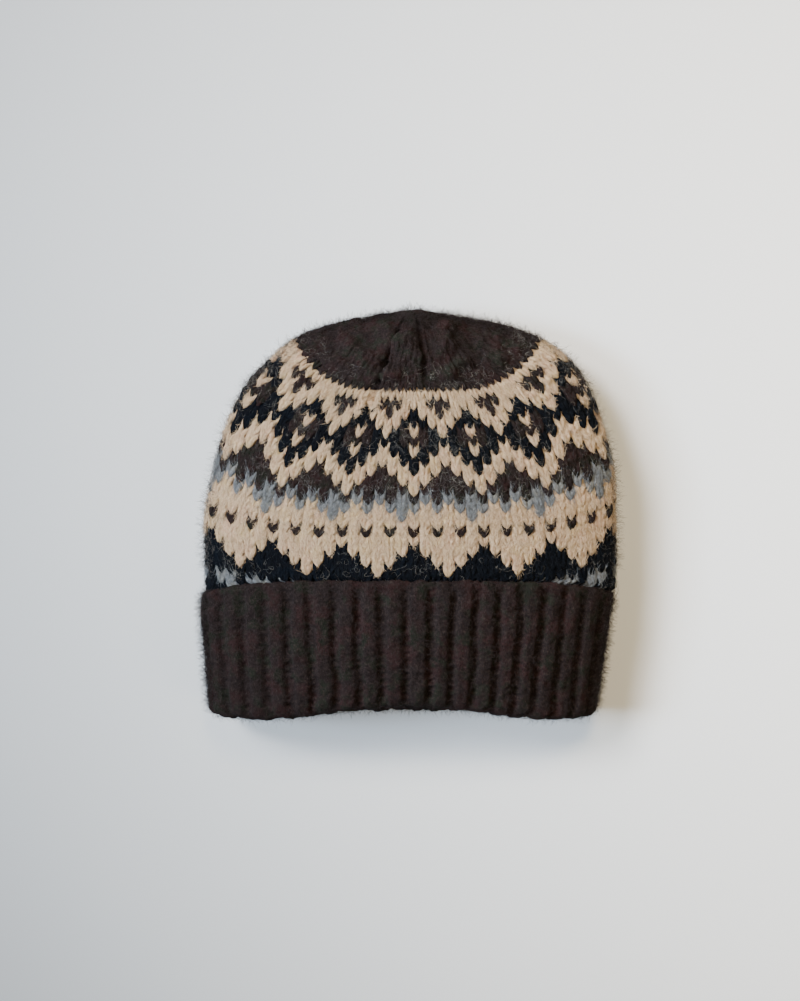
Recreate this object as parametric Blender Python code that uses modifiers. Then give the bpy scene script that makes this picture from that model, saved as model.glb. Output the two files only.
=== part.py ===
"""A knitted beanie lying on its back: crown, patterned band and turned-up ribbed cuff.

Units are metres, +Z is up. The front of the hat faces up, the crown points along +Y and the cuff
along -Y. The hat rests on its flattened back at z = 0, with the origin under the middle of its box.
"""
import math

import bpy
import numpy as np

# Overall sizes of the hat as it lies. The side folds lie at SIDE_SHARE of the body's height.
HAT_LENGTH = 0.2091
BODY_WIDTH = 0.2112
BODY_HEIGHT = 0.0500
SIDE_SHARE = 0.40

# Cuff, folded once at the mouth of the hat. Its turned-up leg reaches SEAM_COVER past the seam. The
# arched front draws the lip of the mouth back by LIP_RECESS at its middle, over LIP_HALF_WIDTH of a
# turn to each side, and this fades out at LIP_HEIGHT above the fold. RIB_SHIFT is how far round the
# first rib lies from the middle of the front, as a share of a rib.
CUFF_HEIGHT = 0.0716
CUFF_SIDE_SHARE = 0.893
CUFF_WIDTH = 0.2117
MOUTH_HEIGHT = 0.0300
MOUTH_SIDE_SHARE = 0.31
SEAM_COVER = 0.0150
LIP_RECESS = 0.0085
LIP_HALF_WIDTH = 0.20
LIP_HEIGHT = 0.045
RIB_COUNT = 39
RIB_SHIFT = 0.25
RIB_RELIEF = 0.0009

# Fabrics, the hollow that a side fold turns round, and the clearances between pieces
KNIT_WALL = 0.0045
RIB_WALL = 0.0040
FOLD_HOLLOW = 0.0035
LEG_CLEARANCE = 0.0008
SEAM_GAP = 0.0003

# How full the body's rounded faces are, from an ellipse at 0.5 to a pointed arch at 1, and how far
# the underside is pressed flat, as a share of the rise of the back towards the side folds
ARCH = 0.75
FLAT_SHARE = 0.045

# Shape of the bow of each round of knitting between its middle and the side folds: how long it stays
# level at the middle, and how steeply it runs into the folds
BOW_LEVEL = 4
BOW_DROP = 1.3

# Mesh density: stitch columns round the body, points across one rib with the one that is grooved,
# steps of the fold at the mouth, and samples of a quarter of a section's outline
STITCH_COLUMNS = 78
POINTS_PER_RIB = 3
GROOVED_POINT = 1
FOLD_STEPS = 6
OUTLINE_SAMPLES = 160

# What follows from these: the outer radius of the fold at the mouth, which holds two legs, how far
# the body under the cuff is set in, and where the inner leg ends
FOLD_RADIUS = RIB_WALL + RIB_RELIEF + LEG_CLEARANCE / 2
UNDER_CUFF = RIB_WALL + RIB_RELIEF + LEG_CLEARANCE
CUFF_SIDE_HEIGHT = CUFF_SIDE_SHARE * CUFF_HEIGHT
SEAM_HEIGHT = CUFF_SIDE_HEIGHT - SEAM_COVER

# Rings of the body from the cuff's edge to the crown. middle and side are how far a ring lies from
# the cuff's edge to the tip, at its middle and at the side folds. left and right are shares of
# BODY_WIDTH from the middle line. top and back are shares of BODY_HEIGHT, fold of the side fold's
# radius.
BAND_RINGS = (
    # middle, side, left, right, top, back, fold
    (0.0320, 0.0310, 0.5060, 0.4930, 0.985, 0.000, 1.0),
    (0.1486, 0.2729, 0.5073, 0.4915, 1.000, 0.000, 1.0),
    (0.2665, 0.4467, 0.4841, 0.4866, 0.990, 0.000, 1.0),
    (0.3689, 0.5849, 0.4585, 0.4634, 0.965, 0.000, 1.0),
    (0.4716, 0.7304, 0.4122, 0.4268, 0.930, 0.000, 1.0),
    (0.5730, 0.8262, 0.3512, 0.3805, 0.880, 0.005, 1.0),
    (0.6749, 0.8972, 0.2915, 0.3146, 0.815, 0.020, 1.0),
)
CROWN_RINGS = (
    # middle, side, left, right, top, back, fold
    (0.7415, 0.9290, 0.2415, 0.2600, 0.780, 0.045, 1.0),
    (0.8127, 0.9510, 0.1870, 0.2080, 0.740, 0.080, 1.0),
    (0.8783, 0.9670, 0.1310, 0.1520, 0.690, 0.125, 0.9),
    (0.9363, 0.9815, 0.0760, 0.0880, 0.625, 0.180, 0.8),
    (0.9831, 0.9947, 0.0300, 0.0320, 0.530, 0.270, 0.5),
)

# Outline of the turned-up cuff from its fold to its free edge. height is a share of CUFF_HEIGHT,
# left and right are shares of CUFF_WIDTH from the middle line, mouth is a share of MOUTH_HEIGHT.
CUFF_OUTLINE = (
    # height, left, right, mouth
    (0.000, 0.4976, 0.4465, 0.880),
    (0.120, 0.4988, 0.4477, 0.900),
    (0.400, 0.5036, 0.4599, 0.960),
    (0.800, 0.5146, 0.4769, 1.000),
    (1.000, 0.5134, 0.4866, 1.000),
)
OUTER_LEG_SHARES = (1.00, 0.94, 0.74, 0.56, 0.40, 0.24)
INNER_LEG_SHARES = (0.5, 1.0)

# Radial creases where the crown's decreases pull in. turn is a share of the way round, start and end
# are shares of the way from the cuff to the tip, depth is a share of KNIT_WALL.
CREASES = (
    # turn, start, end, depth
    (-0.0641, 0.6050, 0.992, 0.50),
    (0.0256, 0.6960, 0.992, 0.30),
    (0.1410, 0.6960, 0.992, 0.25),
    (-0.1667, 0.6960, 0.992, 0.25),
    (0.3590, 0.6650, 0.992, 0.35),
    (-0.4231, 0.6650, 0.992, 0.35),
)

# Half a crease's width as a share of the way round, and how fast its ends run out as shares of the
# way from the cuff to the tip
CREASE_HALF_WIDTH = 0.0154
CREASE_START_FADE = 0.090
CREASE_END_FADE = 0.045

WOOL_ROUGHNESS = 0.95


def clear_objects():
    for thing in list(bpy.data.objects):
        bpy.data.objects.remove(thing, do_unlink=True)


def lens_quarter(reach, middle_z, side_z, flat_share):
    """Half of one face of the section, from its middle line to the side fold."""
    turn = np.linspace(0.0, 0.5 * math.pi, OUTLINE_SAMPLES)
    across = np.sin(turn)
    if middle_z > side_z:
        lift = (1.0 - across**2) ** ARCH
    else:
        rise = 1.0 - (1.0 - across**4) ** ARCH
        lift = 1.0 - np.clip((rise - flat_share) / (1.0 - flat_share), 0.0, 1.0)
    return reach * across, side_z + (middle_z - side_z) * lift


def push_outward(x, z, distance):
    """Moves a closed convex outline outward by a distance along its normals."""
    step_x = np.roll(x, -1) - np.roll(x, 1)
    step_z = np.roll(z, -1) - np.roll(z, 1)
    length = np.hypot(step_x, step_z)
    return x - distance * step_z / length, z + distance * step_x / length


def section(left, right, top, back, side, rounding, inset=0.0):
    """Closed outline of one ring, rounded at the side folds and set in by a distance.

    It returns the turn of each point (0 front, 0.25 right fold, 0.5 back, 0.75 left fold) with its
    x and z, with the points of each quarter spread evenly along it.
    """
    quarters = (
        lens_quarter(right - rounding, top - rounding, side, 0.0),
        lens_quarter(right - rounding, back + rounding, side, FLAT_SHARE),
        lens_quarter(left - rounding, back + rounding, side, FLAT_SHARE),
        lens_quarter(left - rounding, top - rounding, side, 0.0),
    )
    (x_1, z_1), (x_2, z_2), (x_3, z_3), (x_4, z_4) = quarters
    x = np.concatenate((x_1[:-1], x_2[:0:-1], -x_3[:-1], -x_4[:0:-1]))
    z = np.concatenate((z_1[:-1], z_2[:0:-1], z_3[:-1], z_4[:0:-1]))
    x, z = push_outward(x, z, rounding - inset)
    x = np.append(x, x[0])
    z = np.append(z, z[0])
    along = np.concatenate(((0.0,), np.cumsum(np.hypot(np.diff(x), np.diff(z)))))
    per_quarter = OUTLINE_SAMPLES - 1
    turns = np.empty_like(along)
    for quarter in range(4):
        part = slice(quarter * per_quarter, (quarter + 1) * per_quarter + 1)
        start = along[part][0]
        turns[part] = (quarter + (along[part] - start) / (along[part][-1] - start)) / 4.0
    return turns, x, z


def bow(turn):
    """1 at the middle of the front and back, falling to 0 at the side folds."""
    share = np.abs(((turn * 2.0 + 0.5) % 1.0) - 0.5) * 2.0
    return (1.0 - share**BOW_LEVEL) ** BOW_DROP


def smooth_step(value):
    """0 below 0, 1 above 1, and a smooth rise between them."""
    share = np.clip(value, 0.0, 1.0)
    return share * share * (3.0 - 2.0 * share)


def lip(turn, height):
    """How far the front of the cuff is drawn back along the hat at a height above its fold."""
    apart = np.abs((turn + 0.5) % 1.0 - 0.5)
    return LIP_RECESS * smooth_step(1.0 - apart / LIP_HALF_WIDTH) * smooth_step(1.0 - height / LIP_HEIGHT)


def ring_points(outline, middle, side, turn):
    """Points of one ring at the given turns, bent along the hat between its middle and its sides."""
    turns, x, z = outline
    at = turn % 1.0
    along = side + (middle - side) * bow(at)
    return np.stack((np.interp(at, turns, x), along, np.interp(at, turns, z)), 1)


def cuff_outline_at(height):
    """left, right and the mouth's height of the cuff's outline at a height above its fold."""
    rows = np.array(CUFF_OUTLINE)
    share = height / CUFF_HEIGHT
    left = np.interp(share, rows[:, 0], rows[:, 1]) * CUFF_WIDTH
    right = np.interp(share, rows[:, 0], rows[:, 2]) * CUFF_WIDTH
    mouth = np.interp(share, rows[:, 0], rows[:, 3]) * MOUTH_HEIGHT
    return left, right, mouth


def cuff_section(height, inset):
    """The ring of the cuff at a height above its fold, set in from its outer face."""
    left, right, mouth = cuff_outline_at(height)
    legs = 2 * FOLD_RADIUS
    return section(left, right, mouth + 2 * legs, 0.0, legs + MOUTH_SIDE_SHARE * mouth, legs, inset)


def creased(points, turn):
    """Sinks the rows of a ring where a crease of the crown crosses them."""
    centre = points.mean(0)
    inward = centre - points
    inward[:, 1] = 0.0
    inward /= np.linalg.norm(inward, axis=1)[:, None]
    share = (points[:, 1] - CUFF_HEIGHT) / (HAT_LENGTH - CUFF_HEIGHT)
    sink = np.zeros(len(turn))
    for crease_turn, start, end, depth in CREASES:
        apart = np.abs((turn - crease_turn + 0.5) % 1.0 - 0.5)
        across = np.clip(1.0 - apart / CREASE_HALF_WIDTH, 0.0, 1.0)
        begun = np.clip((share - start) / CREASE_START_FADE, 0.0, 1.0)
        along = begun * np.clip((end - share) / CREASE_END_FADE, 0.0, 1.0)
        sink = np.maximum(sink, depth * KNIT_WALL * across * along)
    return points + inward * sink[:, None]


def body_ring(row, turn):
    """One ring of the body from a table row."""
    middle, side, left, right, top, back, fold = row
    outline = section(
        left * BODY_WIDTH,
        right * BODY_WIDTH,
        top * BODY_HEIGHT,
        back * BODY_HEIGHT,
        SIDE_SHARE * BODY_HEIGHT,
        fold * (KNIT_WALL + FOLD_HOLLOW),
    )
    middle_at = CUFF_HEIGHT + middle * (HAT_LENGTH - CUFF_HEIGHT)
    side_at = CUFF_SIDE_HEIGHT + side * (HAT_LENGTH - CUFF_SIDE_HEIGHT)
    points = ring_points(outline, middle_at, side_at, turn)
    return creased(points, turn)


def hidden_ring(middle, side, turn):
    """A ring of the body under the turned-up cuff, just inside the cuff's outer leg."""
    return ring_points(cuff_section(middle, UNDER_CUFF), middle, side, turn)


def strip_faces(first, second, count):
    """Quads between two rings of points, given the numbers of their first points."""
    faces = []
    for column in range(count):
        following = (column + 1) % count
        faces.append((first + column, first + following, second + following, second + column))
    return faces


def fan_faces(first, tip, count):
    return [(first + column, first + (column + 1) % count, tip) for column in range(count)]


def mesh_object(name, points, faces):
    mesh = bpy.data.meshes.new(name)
    mesh.from_pydata([tuple(point) for point in points], [], faces)
    mesh.shade_smooth()
    return bpy.data.objects.new(name, mesh)


def outward_normals(rings, tip):
    """Unit normals of a grid of rings, an array of ring by column by xyz, that ends in a tip."""
    closed = np.concatenate((rings, np.broadcast_to(tip, (1,) + rings.shape[1:])))
    along = np.gradient(closed, axis=0)[:-1]
    across = np.roll(rings, -1, axis=1) - np.roll(rings, 1, axis=1)
    normals = np.cross(across, along)
    return normals / np.linalg.norm(normals, axis=2)[:, :, None]


def knitted_shell(name, outer, inner, outer_tip=None, inner_tip=None):
    """A closed wall between two grids of rings, open at its ends or closed by a tip at the far one."""
    levels, count = outer.shape[:2]
    points = list(outer.reshape(-1, 3)) + list(inner.reshape(-1, 3))
    inside = levels * count
    faces = []
    for level in range(levels - 1):
        faces += strip_faces(level * count, (level + 1) * count, count)
        faces += strip_faces(inside + (level + 1) * count, inside + level * count, count)
    faces += strip_faces(inside, 0, count)
    last = (levels - 1) * count
    if outer_tip is None:
        faces += strip_faces(last, inside + last, count)
    else:
        points += [outer_tip, inner_tip]
        faces += fan_faces(last, len(points) - 2, count)
        faces += [face[::-1] for face in fan_faces(inside + last, len(points) - 1, count)]
    return mesh_object(name, points, faces)


def body_grids():
    """Outer and inner faces of the whole body, from the seam under the cuff to the tip."""
    turn = np.arange(STITCH_COLUMNS) / STITCH_COLUMNS
    rings = [hidden_ring(SEAM_HEIGHT + SEAM_GAP, SEAM_HEIGHT + SEAM_GAP, turn)]
    rings.append(hidden_ring(CUFF_HEIGHT + RIB_RELIEF, CUFF_SIDE_HEIGHT + RIB_RELIEF, turn))
    rings += [body_ring(row, turn) for row in BAND_RINGS + CROWN_RINGS]
    tip = np.array((0.0, HAT_LENGTH, SIDE_SHARE * BODY_HEIGHT))
    outer = np.array(rings)
    normals = outward_normals(outer, tip)
    normals[0, :, 1] = 0.0
    inner = outer - KNIT_WALL * normals
    return outer, inner, tip


def wool(name, colour):
    """Matt woollen yarn."""
    material = bpy.data.materials.new(name)
    material.use_nodes = True
    shader = material.node_tree.nodes["Principled BSDF"]
    shader.inputs["Base Color"].default_value = colour
    shader.inputs["Roughness"].default_value = WOOL_ROUGHNESS
    return material


def build_band(outer, inner):
    """The patterned tube, from the seam under the cuff to the first plain round of the crown."""
    levels = len(outer) - len(CROWN_RINGS)
    made = knitted_shell("patterned_band", outer[:levels], inner[:levels])
    made.data.materials.append(wool("cream_wool", (0.60, 0.48, 0.37, 1.0)))
    return made


def build_crown(outer, inner, tip):
    """The plain top, gathered to a point at the tip of the hat."""
    first = len(outer) - len(CROWN_RINGS) - 1
    outer, inner = outer[first:].copy(), inner[first:].copy()
    onward = outer[1] - outer[0]
    onward *= SEAM_GAP / np.linalg.norm(onward, axis=1)[:, None]
    outer[0] += onward
    inner[0] += onward
    made = knitted_shell("crown", outer, inner, tip, tip - np.array((0.0, KNIT_WALL, 0.0)))
    made.data.materials.append(wool("brown_wool", (0.042, 0.030, 0.024, 1.0)))
    return made


def cuff_ring(middle, side, angle, turn, grooved):
    """One ring of the cuff's outer face. angle is 0 on the outer leg, pi on the inner one."""
    inset = FOLD_RADIUS * (1.0 - math.cos(angle))
    plain = ring_points(cuff_section(middle, inset), middle, side, turn)
    sunk = inset + RIB_RELIEF * math.cos(angle)
    groove = ring_points(cuff_section(middle, sunk), middle, side, turn)
    groove[:, 1] += RIB_RELIEF * math.sin(angle)
    ring = np.where(grooved[:, None], groove, plain)
    ring[:, 1] += lip(turn, middle)
    return ring


def build_cuff():
    """The ribbed strip: turned-up outer leg, fold at the mouth, inner leg up to the seam."""
    count = RIB_COUNT * POINTS_PER_RIB
    turn = (np.arange(count) + 0.5 + RIB_SHIFT * POINTS_PER_RIB) / count
    grooved = np.arange(count) % POINTS_PER_RIB == GROOVED_POINT
    stations = [(share * CUFF_HEIGHT, share * CUFF_SIDE_HEIGHT, 0.0) for share in OUTER_LEG_SHARES]
    for step in range(FOLD_STEPS + 1):
        angle = math.pi * step / FOLD_STEPS
        height = FOLD_RADIUS * (1.0 - math.sin(angle))
        stations.append((height, height, angle))
    for share in INNER_LEG_SHARES:
        height = FOLD_RADIUS + share * (SEAM_HEIGHT - FOLD_RADIUS)
        stations.append((height, height, math.pi))
    rings = [cuff_ring(middle, side, angle, turn, grooved) for middle, side, angle in stations]
    faces = []
    for level in range(len(rings) - 1):
        faces += strip_faces((level + 1) * count, level * count, count)
    made = mesh_object("ribbed_cuff", np.concatenate(rings), faces)
    wall = made.modifiers.new("wall", "SOLIDIFY")
    wall.thickness = RIB_WALL
    wall.offset = -1.0
    wall.use_even_offset = True
    wall.use_quality_normals = True
    made.data.materials.append(wool("brown_rib_wool", (0.036, 0.026, 0.021, 1.0)))
    return made


def place_on_origin(pieces):
    """Sets the pieces so that the origin lies under the middle of their box."""
    bpy.context.view_layer.update()
    corners = np.array([tuple(vertex.co) for piece in pieces for vertex in piece.data.vertices])
    low, high = corners.min(0), corners.max(0)
    for piece in pieces:
        piece.location = (-(low[0] + high[0]) / 2, -(low[1] + high[1]) / 2, -low[2])


def main():
    clear_objects()
    hat = bpy.data.collections.new("beanie")
    bpy.context.scene.collection.children.link(hat)
    outer, inner, tip = body_grids()
    pieces = [build_crown(outer, inner, tip), build_band(outer, inner), build_cuff()]
    for piece in pieces:
        hat.objects.link(piece)
    place_on_origin(pieces)


main()
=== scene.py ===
import math

import bpy
import numpy as np
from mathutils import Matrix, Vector


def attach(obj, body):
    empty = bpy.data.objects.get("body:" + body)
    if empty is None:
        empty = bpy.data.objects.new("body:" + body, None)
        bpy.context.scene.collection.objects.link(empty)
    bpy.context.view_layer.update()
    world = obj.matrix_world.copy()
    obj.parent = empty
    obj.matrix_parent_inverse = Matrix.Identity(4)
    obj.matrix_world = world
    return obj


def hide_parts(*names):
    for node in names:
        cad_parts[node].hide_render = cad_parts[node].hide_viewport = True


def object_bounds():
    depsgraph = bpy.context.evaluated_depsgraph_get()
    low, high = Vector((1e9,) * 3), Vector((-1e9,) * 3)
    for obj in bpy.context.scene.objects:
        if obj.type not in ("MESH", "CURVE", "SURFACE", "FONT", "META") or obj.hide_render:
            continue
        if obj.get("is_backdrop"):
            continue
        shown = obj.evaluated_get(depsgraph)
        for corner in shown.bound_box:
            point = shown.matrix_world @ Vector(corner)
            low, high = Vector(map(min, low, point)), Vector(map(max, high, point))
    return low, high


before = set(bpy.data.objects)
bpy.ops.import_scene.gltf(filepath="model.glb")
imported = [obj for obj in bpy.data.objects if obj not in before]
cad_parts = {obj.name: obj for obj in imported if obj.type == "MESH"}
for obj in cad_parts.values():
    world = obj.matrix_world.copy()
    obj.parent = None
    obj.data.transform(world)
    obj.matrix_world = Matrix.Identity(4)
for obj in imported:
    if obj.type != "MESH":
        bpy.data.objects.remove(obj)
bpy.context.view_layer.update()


# Camera
# The hat is seen from straight above, crown at the top of the picture. A short telephoto lens at
# about 60 cm gives the slight swelling of the raised middle.
CAMERA_HEIGHT = 0.620
LENS = 41.9
PHOTO_SENSOR = 36.0
CAMERA_OFFSET_X = -0.0044
CAMERA_OFFSET_Y = 0.0062

camera = bpy.data.objects.new("camera", bpy.data.cameras.new("camera"))
camera.data.lens = LENS
camera.data.sensor_width = PHOTO_SENSOR
camera.data.clip_start = 0.01
camera.location = (CAMERA_OFFSET_X, CAMERA_OFFSET_Y, CAMERA_HEIGHT)
bpy.context.scene.collection.objects.link(camera)
bpy.context.scene.camera = camera


# Table top
# A smooth white board that carries the hat and takes its soft shadow. Its paint is greyer and cooler
# towards the left: painted shade that stands in for the light falling off towards the left.
TABLE_HALF = 1.6
TABLE_WHITE = "ffffff"
TABLE_PAINTED_SHADE = "dcdee0"
FADE_ACROSS = 1.40
FADE_MIDDLE = 0.52


def linear(code):
    """A colour in linear light, from its sRGB hex value."""
    shares = [int(code[at:at + 2], 16) / 255 for at in (0, 2, 4)]
    return [s / 12.92 if s <= 0.04045 else ((s + 0.055) / 1.055) ** 2.4 for s in shares] + [1.0]


def add(tree, kind, settings, inputs):
    """Adds a node, with its settings and with inputs that are values or links."""
    made = tree.nodes.new(kind)
    for name, value in settings.items():
        setattr(made, name, value)
    for name, value in inputs.items():
        if isinstance(value, bpy.types.NodeSocket):
            tree.links.new(value, made.inputs[name])
        else:
            made.inputs[name].default_value = value
    return made


def blank_material(name):
    """A material with only its Principled shader, and the tree and shader to work on."""
    material = bpy.data.materials.new(name)
    material.use_nodes = True
    return material, material.node_tree, material.node_tree.nodes["Principled BSDF"]


# Satin white paint with no mirror image of the lamps, and painted shade that greys it towards the left
painted_board, tree, shader = blank_material("painted_board")
place = add(tree, "ShaderNodeTexCoord", {}, {})
# Painted shade: the paint runs from white on the right to grey on the left, for the light's fall-off
slope = add(tree, "ShaderNodeVectorMath", {"operation": "DOT_PRODUCT"}, {
    0: place.outputs["Object"], 1: (FADE_ACROSS, 0.0, 0.0)})
painted_falloff = add(tree, "ShaderNodeMath", {"operation": "ADD", "use_clamp": True}, {
    0: slope.outputs["Value"], 1: FADE_MIDDLE})
tone = add(tree, "ShaderNodeMix", {"data_type": "RGBA"}, {
    "Factor": painted_falloff.outputs[0], "A": linear(TABLE_PAINTED_SHADE), "B": linear(TABLE_WHITE)})
tree.links.new(tone.outputs["Result"], shader.inputs["Base Color"])
shader.inputs["Roughness"].default_value = 0.6
shader.inputs["Specular IOR Level"].default_value = 0.2

board = bpy.data.meshes.new("table_top")
board.from_pydata(
    [(x * TABLE_HALF, y * TABLE_HALF, 0.0) for x, y in ((-1, -1), (1, -1), (1, 1), (-1, 1))],
    [], [(0, 1, 2, 3)])
board.materials.append(painted_board)
table_top = bpy.data.objects.new("table_top", board)
bpy.context.scene.collection.objects.link(table_top)
table_top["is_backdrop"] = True


# Light
# Cool window light from the left, a warm lamp beyond the crown, a plain one between them and a weak
# warm return from a wall on the right, all soft. The shadow on the right is warm and the one below
# is cool. The beams are aimed to the right of the hat, where the table is brightest.
WINDOW_PLACE = (-1.38, 0.05, 1.05)
WINDOW_SIZE = 0.50
WINDOW_WATTS = 4.0
CEILING_PLACE = (0.25, 1.15, 1.45)
CEILING_SIZE = 0.50
CEILING_WATTS = 2.25
CORNER_PLACE = (-1.00, 0.80, 1.20)
CORNER_SIZE = 0.60
CORNER_WATTS = 5.0
WALL_PLACE = (1.25, -0.45, 0.75)
WALL_SIZE = 0.90
WALL_WATTS = 0.95
BEAM_AIM = (0.46, 0.00, 0.0)
BEAM_DEGREES = 44.0
ROOM_STRENGTH = 0.11


def soft_light(name, place, size, watts, code):
    """A square light with a narrow beam, which is brightest where it is aimed."""
    light = bpy.data.lights.new(name, "AREA")
    light.size = size
    light.energy = watts
    light.color = linear(code)[:3]
    light.spread = math.radians(BEAM_DEGREES)
    lamp = bpy.data.objects.new(name, light)
    lamp.location = place
    lamp.rotation_euler = (Vector(BEAM_AIM) - Vector(place)).to_track_quat("-Z", "Y").to_euler()
    bpy.context.scene.collection.objects.link(lamp)


soft_light("window", WINDOW_PLACE, WINDOW_SIZE, WINDOW_WATTS, "d5eaff")
soft_light("ceiling_lamp", CEILING_PLACE, CEILING_SIZE, CEILING_WATTS, "ffe9bd")
soft_light("corner_lamp", CORNER_PLACE, CORNER_SIZE, CORNER_WATTS, "ffffff")
soft_light("wall_return", WALL_PLACE, WALL_SIZE, WALL_WATTS, "ffeccc")
room = bpy.data.worlds.new("room")
room.use_nodes = True
room.node_tree.nodes["Background"].inputs["Color"].default_value = linear("fff5e4")
room.node_tree.nodes["Background"].inputs["Strength"].default_value = ROOM_STRENGTH
bpy.context.scene.world = room


# Body fabric
# One tube of stocking stitch in chunky wool, 78 stitches round, lying with its sides folded. This
# section holds the form that the rows of stitches lie on.
HAT_LENGTH = 0.2091
BODY_WIDTH = 0.2112
BODY_HEIGHT = 0.0500
SIDE_SHARE = 0.40
KNIT_WALL = 0.0045
FOLD_HOLLOW = 0.0035
ARCH = 0.75
FLAT_SHARE = 0.045
BOW_LEVEL = 4
BOW_DROP = 1.3
STITCHES_ROUND = 78
CUFF_HEIGHT = 0.0716
CUFF_SIDE_HEIGHT = 0.893 * CUFF_HEIGHT
EDGE_STEP = 0.0045
EDGE_UNDER = 0.0028
BODY_ROWS = (
    # row, middle, side, left, right, top, back, fold
    (0, -0.2022, -0.0822, 0.5050, 0.4930, 0.980, 0.000, 1.0),
    (6, 0.0073, 0.1237, 0.5065, 0.4925, 0.990, 0.000, 1.0),
    (10, 0.1486, 0.2729, 0.5073, 0.4915, 1.000, 0.000, 1.0),
    (14, 0.2665, 0.4467, 0.4841, 0.4866, 0.990, 0.000, 1.0),
    (17, 0.3689, 0.5849, 0.4585, 0.4634, 0.965, 0.000, 1.0),
    (20, 0.4716, 0.7304, 0.4122, 0.4268, 0.930, 0.000, 1.0),
    (23, 0.5730, 0.8262, 0.3512, 0.3805, 0.880, 0.005, 1.0),
    (26, 0.6749, 0.8972, 0.2915, 0.3146, 0.815, 0.020, 1.0),
    (28, 0.7415, 0.9290, 0.2415, 0.2600, 0.780, 0.045, 1.0),
    (30, 0.8127, 0.9510, 0.1870, 0.2080, 0.740, 0.080, 1.0),
    (32, 0.8783, 0.9670, 0.1310, 0.1520, 0.690, 0.125, 0.9),
    (34, 0.9363, 0.9815, 0.0760, 0.0880, 0.625, 0.180, 0.8),
    (36, 0.9831, 0.9947, 0.0300, 0.0320, 0.530, 0.270, 0.5),
)
LAST_ROW = 36
TIP_ROW = 37
CREASES = (
    # turn, start row, end row, depth in metres, half width in turns
    (-0.0769, 23.5, 36.0, 0.0030, 0.0150),
    (-0.0769, 22.8, 33.5, 0.0048, 0.0062),
    (0.0256, 26.5, 36.0, 0.0024, 0.0125),
    (0.1410, 26.5, 36.0, 0.0014, 0.0125),
    (-0.1667, 26.5, 36.0, 0.0014, 0.0125),
    (0.3590, 25.5, 36.0, 0.0016, 0.0125),
    (-0.4231, 25.5, 36.0, 0.0016, 0.0125),
)
CREASE_FADE_ROWS = 2.0
OUTLINE_SAMPLES = 160
GRID_TURNS = 16 * STITCHES_ROUND
GRID_PER_ROW = 5

tip_vertex = max(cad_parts["crown"].data.vertices, key=lambda vertex: vertex.co.y)
hat_origin = np.array((tip_vertex.co.x, tip_vertex.co.y - HAT_LENGTH, 0.0))


def lens_quarter(reach, middle_z, side_z, flat_share):
    """Half of one face of a section, from its middle line to the side fold."""
    across = np.sin(np.linspace(0.0, 0.5 * math.pi, OUTLINE_SAMPLES))
    if middle_z > side_z:
        lift = (1.0 - across**2) ** ARCH
    else:
        rise = 1.0 - (1.0 - across**4) ** ARCH
        lift = 1.0 - np.clip((rise - flat_share) / (1.0 - flat_share), 0.0, 1.0)
    return reach * across, side_z + (middle_z - side_z) * lift


def section(left, right, top, back, side, rounding, inset=0.0):
    """Turns, x and z round one section, which is rounded at the side folds."""
    quarters = (
        lens_quarter(right - rounding, top - rounding, side, 0.0),
        lens_quarter(right - rounding, back + rounding, side, FLAT_SHARE),
        lens_quarter(left - rounding, back + rounding, side, FLAT_SHARE),
        lens_quarter(left - rounding, top - rounding, side, 0.0),
    )
    (x_1, z_1), (x_2, z_2), (x_3, z_3), (x_4, z_4) = quarters
    x = np.concatenate((x_1[:-1], x_2[:0:-1], -x_3[:-1], -x_4[:0:-1]))
    z = np.concatenate((z_1[:-1], z_2[:0:-1], z_3[:-1], z_4[:0:-1]))
    step_x = np.roll(x, -1) - np.roll(x, 1)
    step_z = np.roll(z, -1) - np.roll(z, 1)
    length = np.hypot(step_x, step_z)
    x, z = x - (rounding - inset) * step_z / length, z + (rounding - inset) * step_x / length
    x = np.append(x, x[0])
    z = np.append(z, z[0])
    along = np.concatenate(((0.0,), np.cumsum(np.hypot(np.diff(x), np.diff(z)))))
    per_quarter = OUTLINE_SAMPLES - 1
    turns = np.empty_like(along)
    for quarter in range(4):
        part = slice(quarter * per_quarter, (quarter + 1) * per_quarter + 1)
        start = along[part][0]
        turns[part] = (quarter + (along[part] - start) / (along[part][-1] - start)) / 4.0
    return turns, x, z


def bow(turn):
    """1 at the middle of the front and back, falling to 0 at the side folds."""
    share = np.abs(((turn * 2.0 + 0.5) % 1.0) - 0.5) * 2.0
    return (1.0 - share**BOW_LEVEL) ** BOW_DROP


def eased(table, at):
    """Values of a table's columns at some places of its first column, with smooth joins."""
    rows = np.array(table, float)
    places = rows[:, 0]
    slopes = np.gradient(rows, places, axis=0)
    first = np.clip(np.searchsorted(places, at) - 1, 0, len(rows) - 2)
    width = (places[first + 1] - places[first])[:, None]
    share = np.clip((at[:, None] - places[first][:, None]) / width, 0.0, 1.0)
    square, cube = share**2, share**3
    return ((2 * cube - 3 * square + 1) * rows[first]
            + (cube - 2 * square + share) * width * slopes[first]
            + (3 * square - 2 * cube) * rows[first + 1]
            + (cube - square) * width * slopes[first + 1])


def smooth_step(value):
    """0 below 0, 1 above 1, and a smooth rise between them."""
    share = np.clip(value, 0.0, 1.0)
    return share * share * (3.0 - 2.0 * share)


FOLD_RADIUS = 0.0053
UNDER_CUFF = 0.0057
CUFF_WIDTH = 0.2117
MOUTH_HEIGHT = 0.0300
MOUTH_SIDE_SHARE = 0.31
CUFF_OUTLINE = (
    # height, left, right, mouth
    (0.000, 0.4976, 0.4465, 0.880),
    (0.120, 0.4988, 0.4477, 0.900),
    (0.400, 0.5036, 0.4599, 0.960),
    (0.800, 0.5146, 0.4769, 1.000),
    (1.000, 0.5134, 0.4866, 1.000),
)


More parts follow.
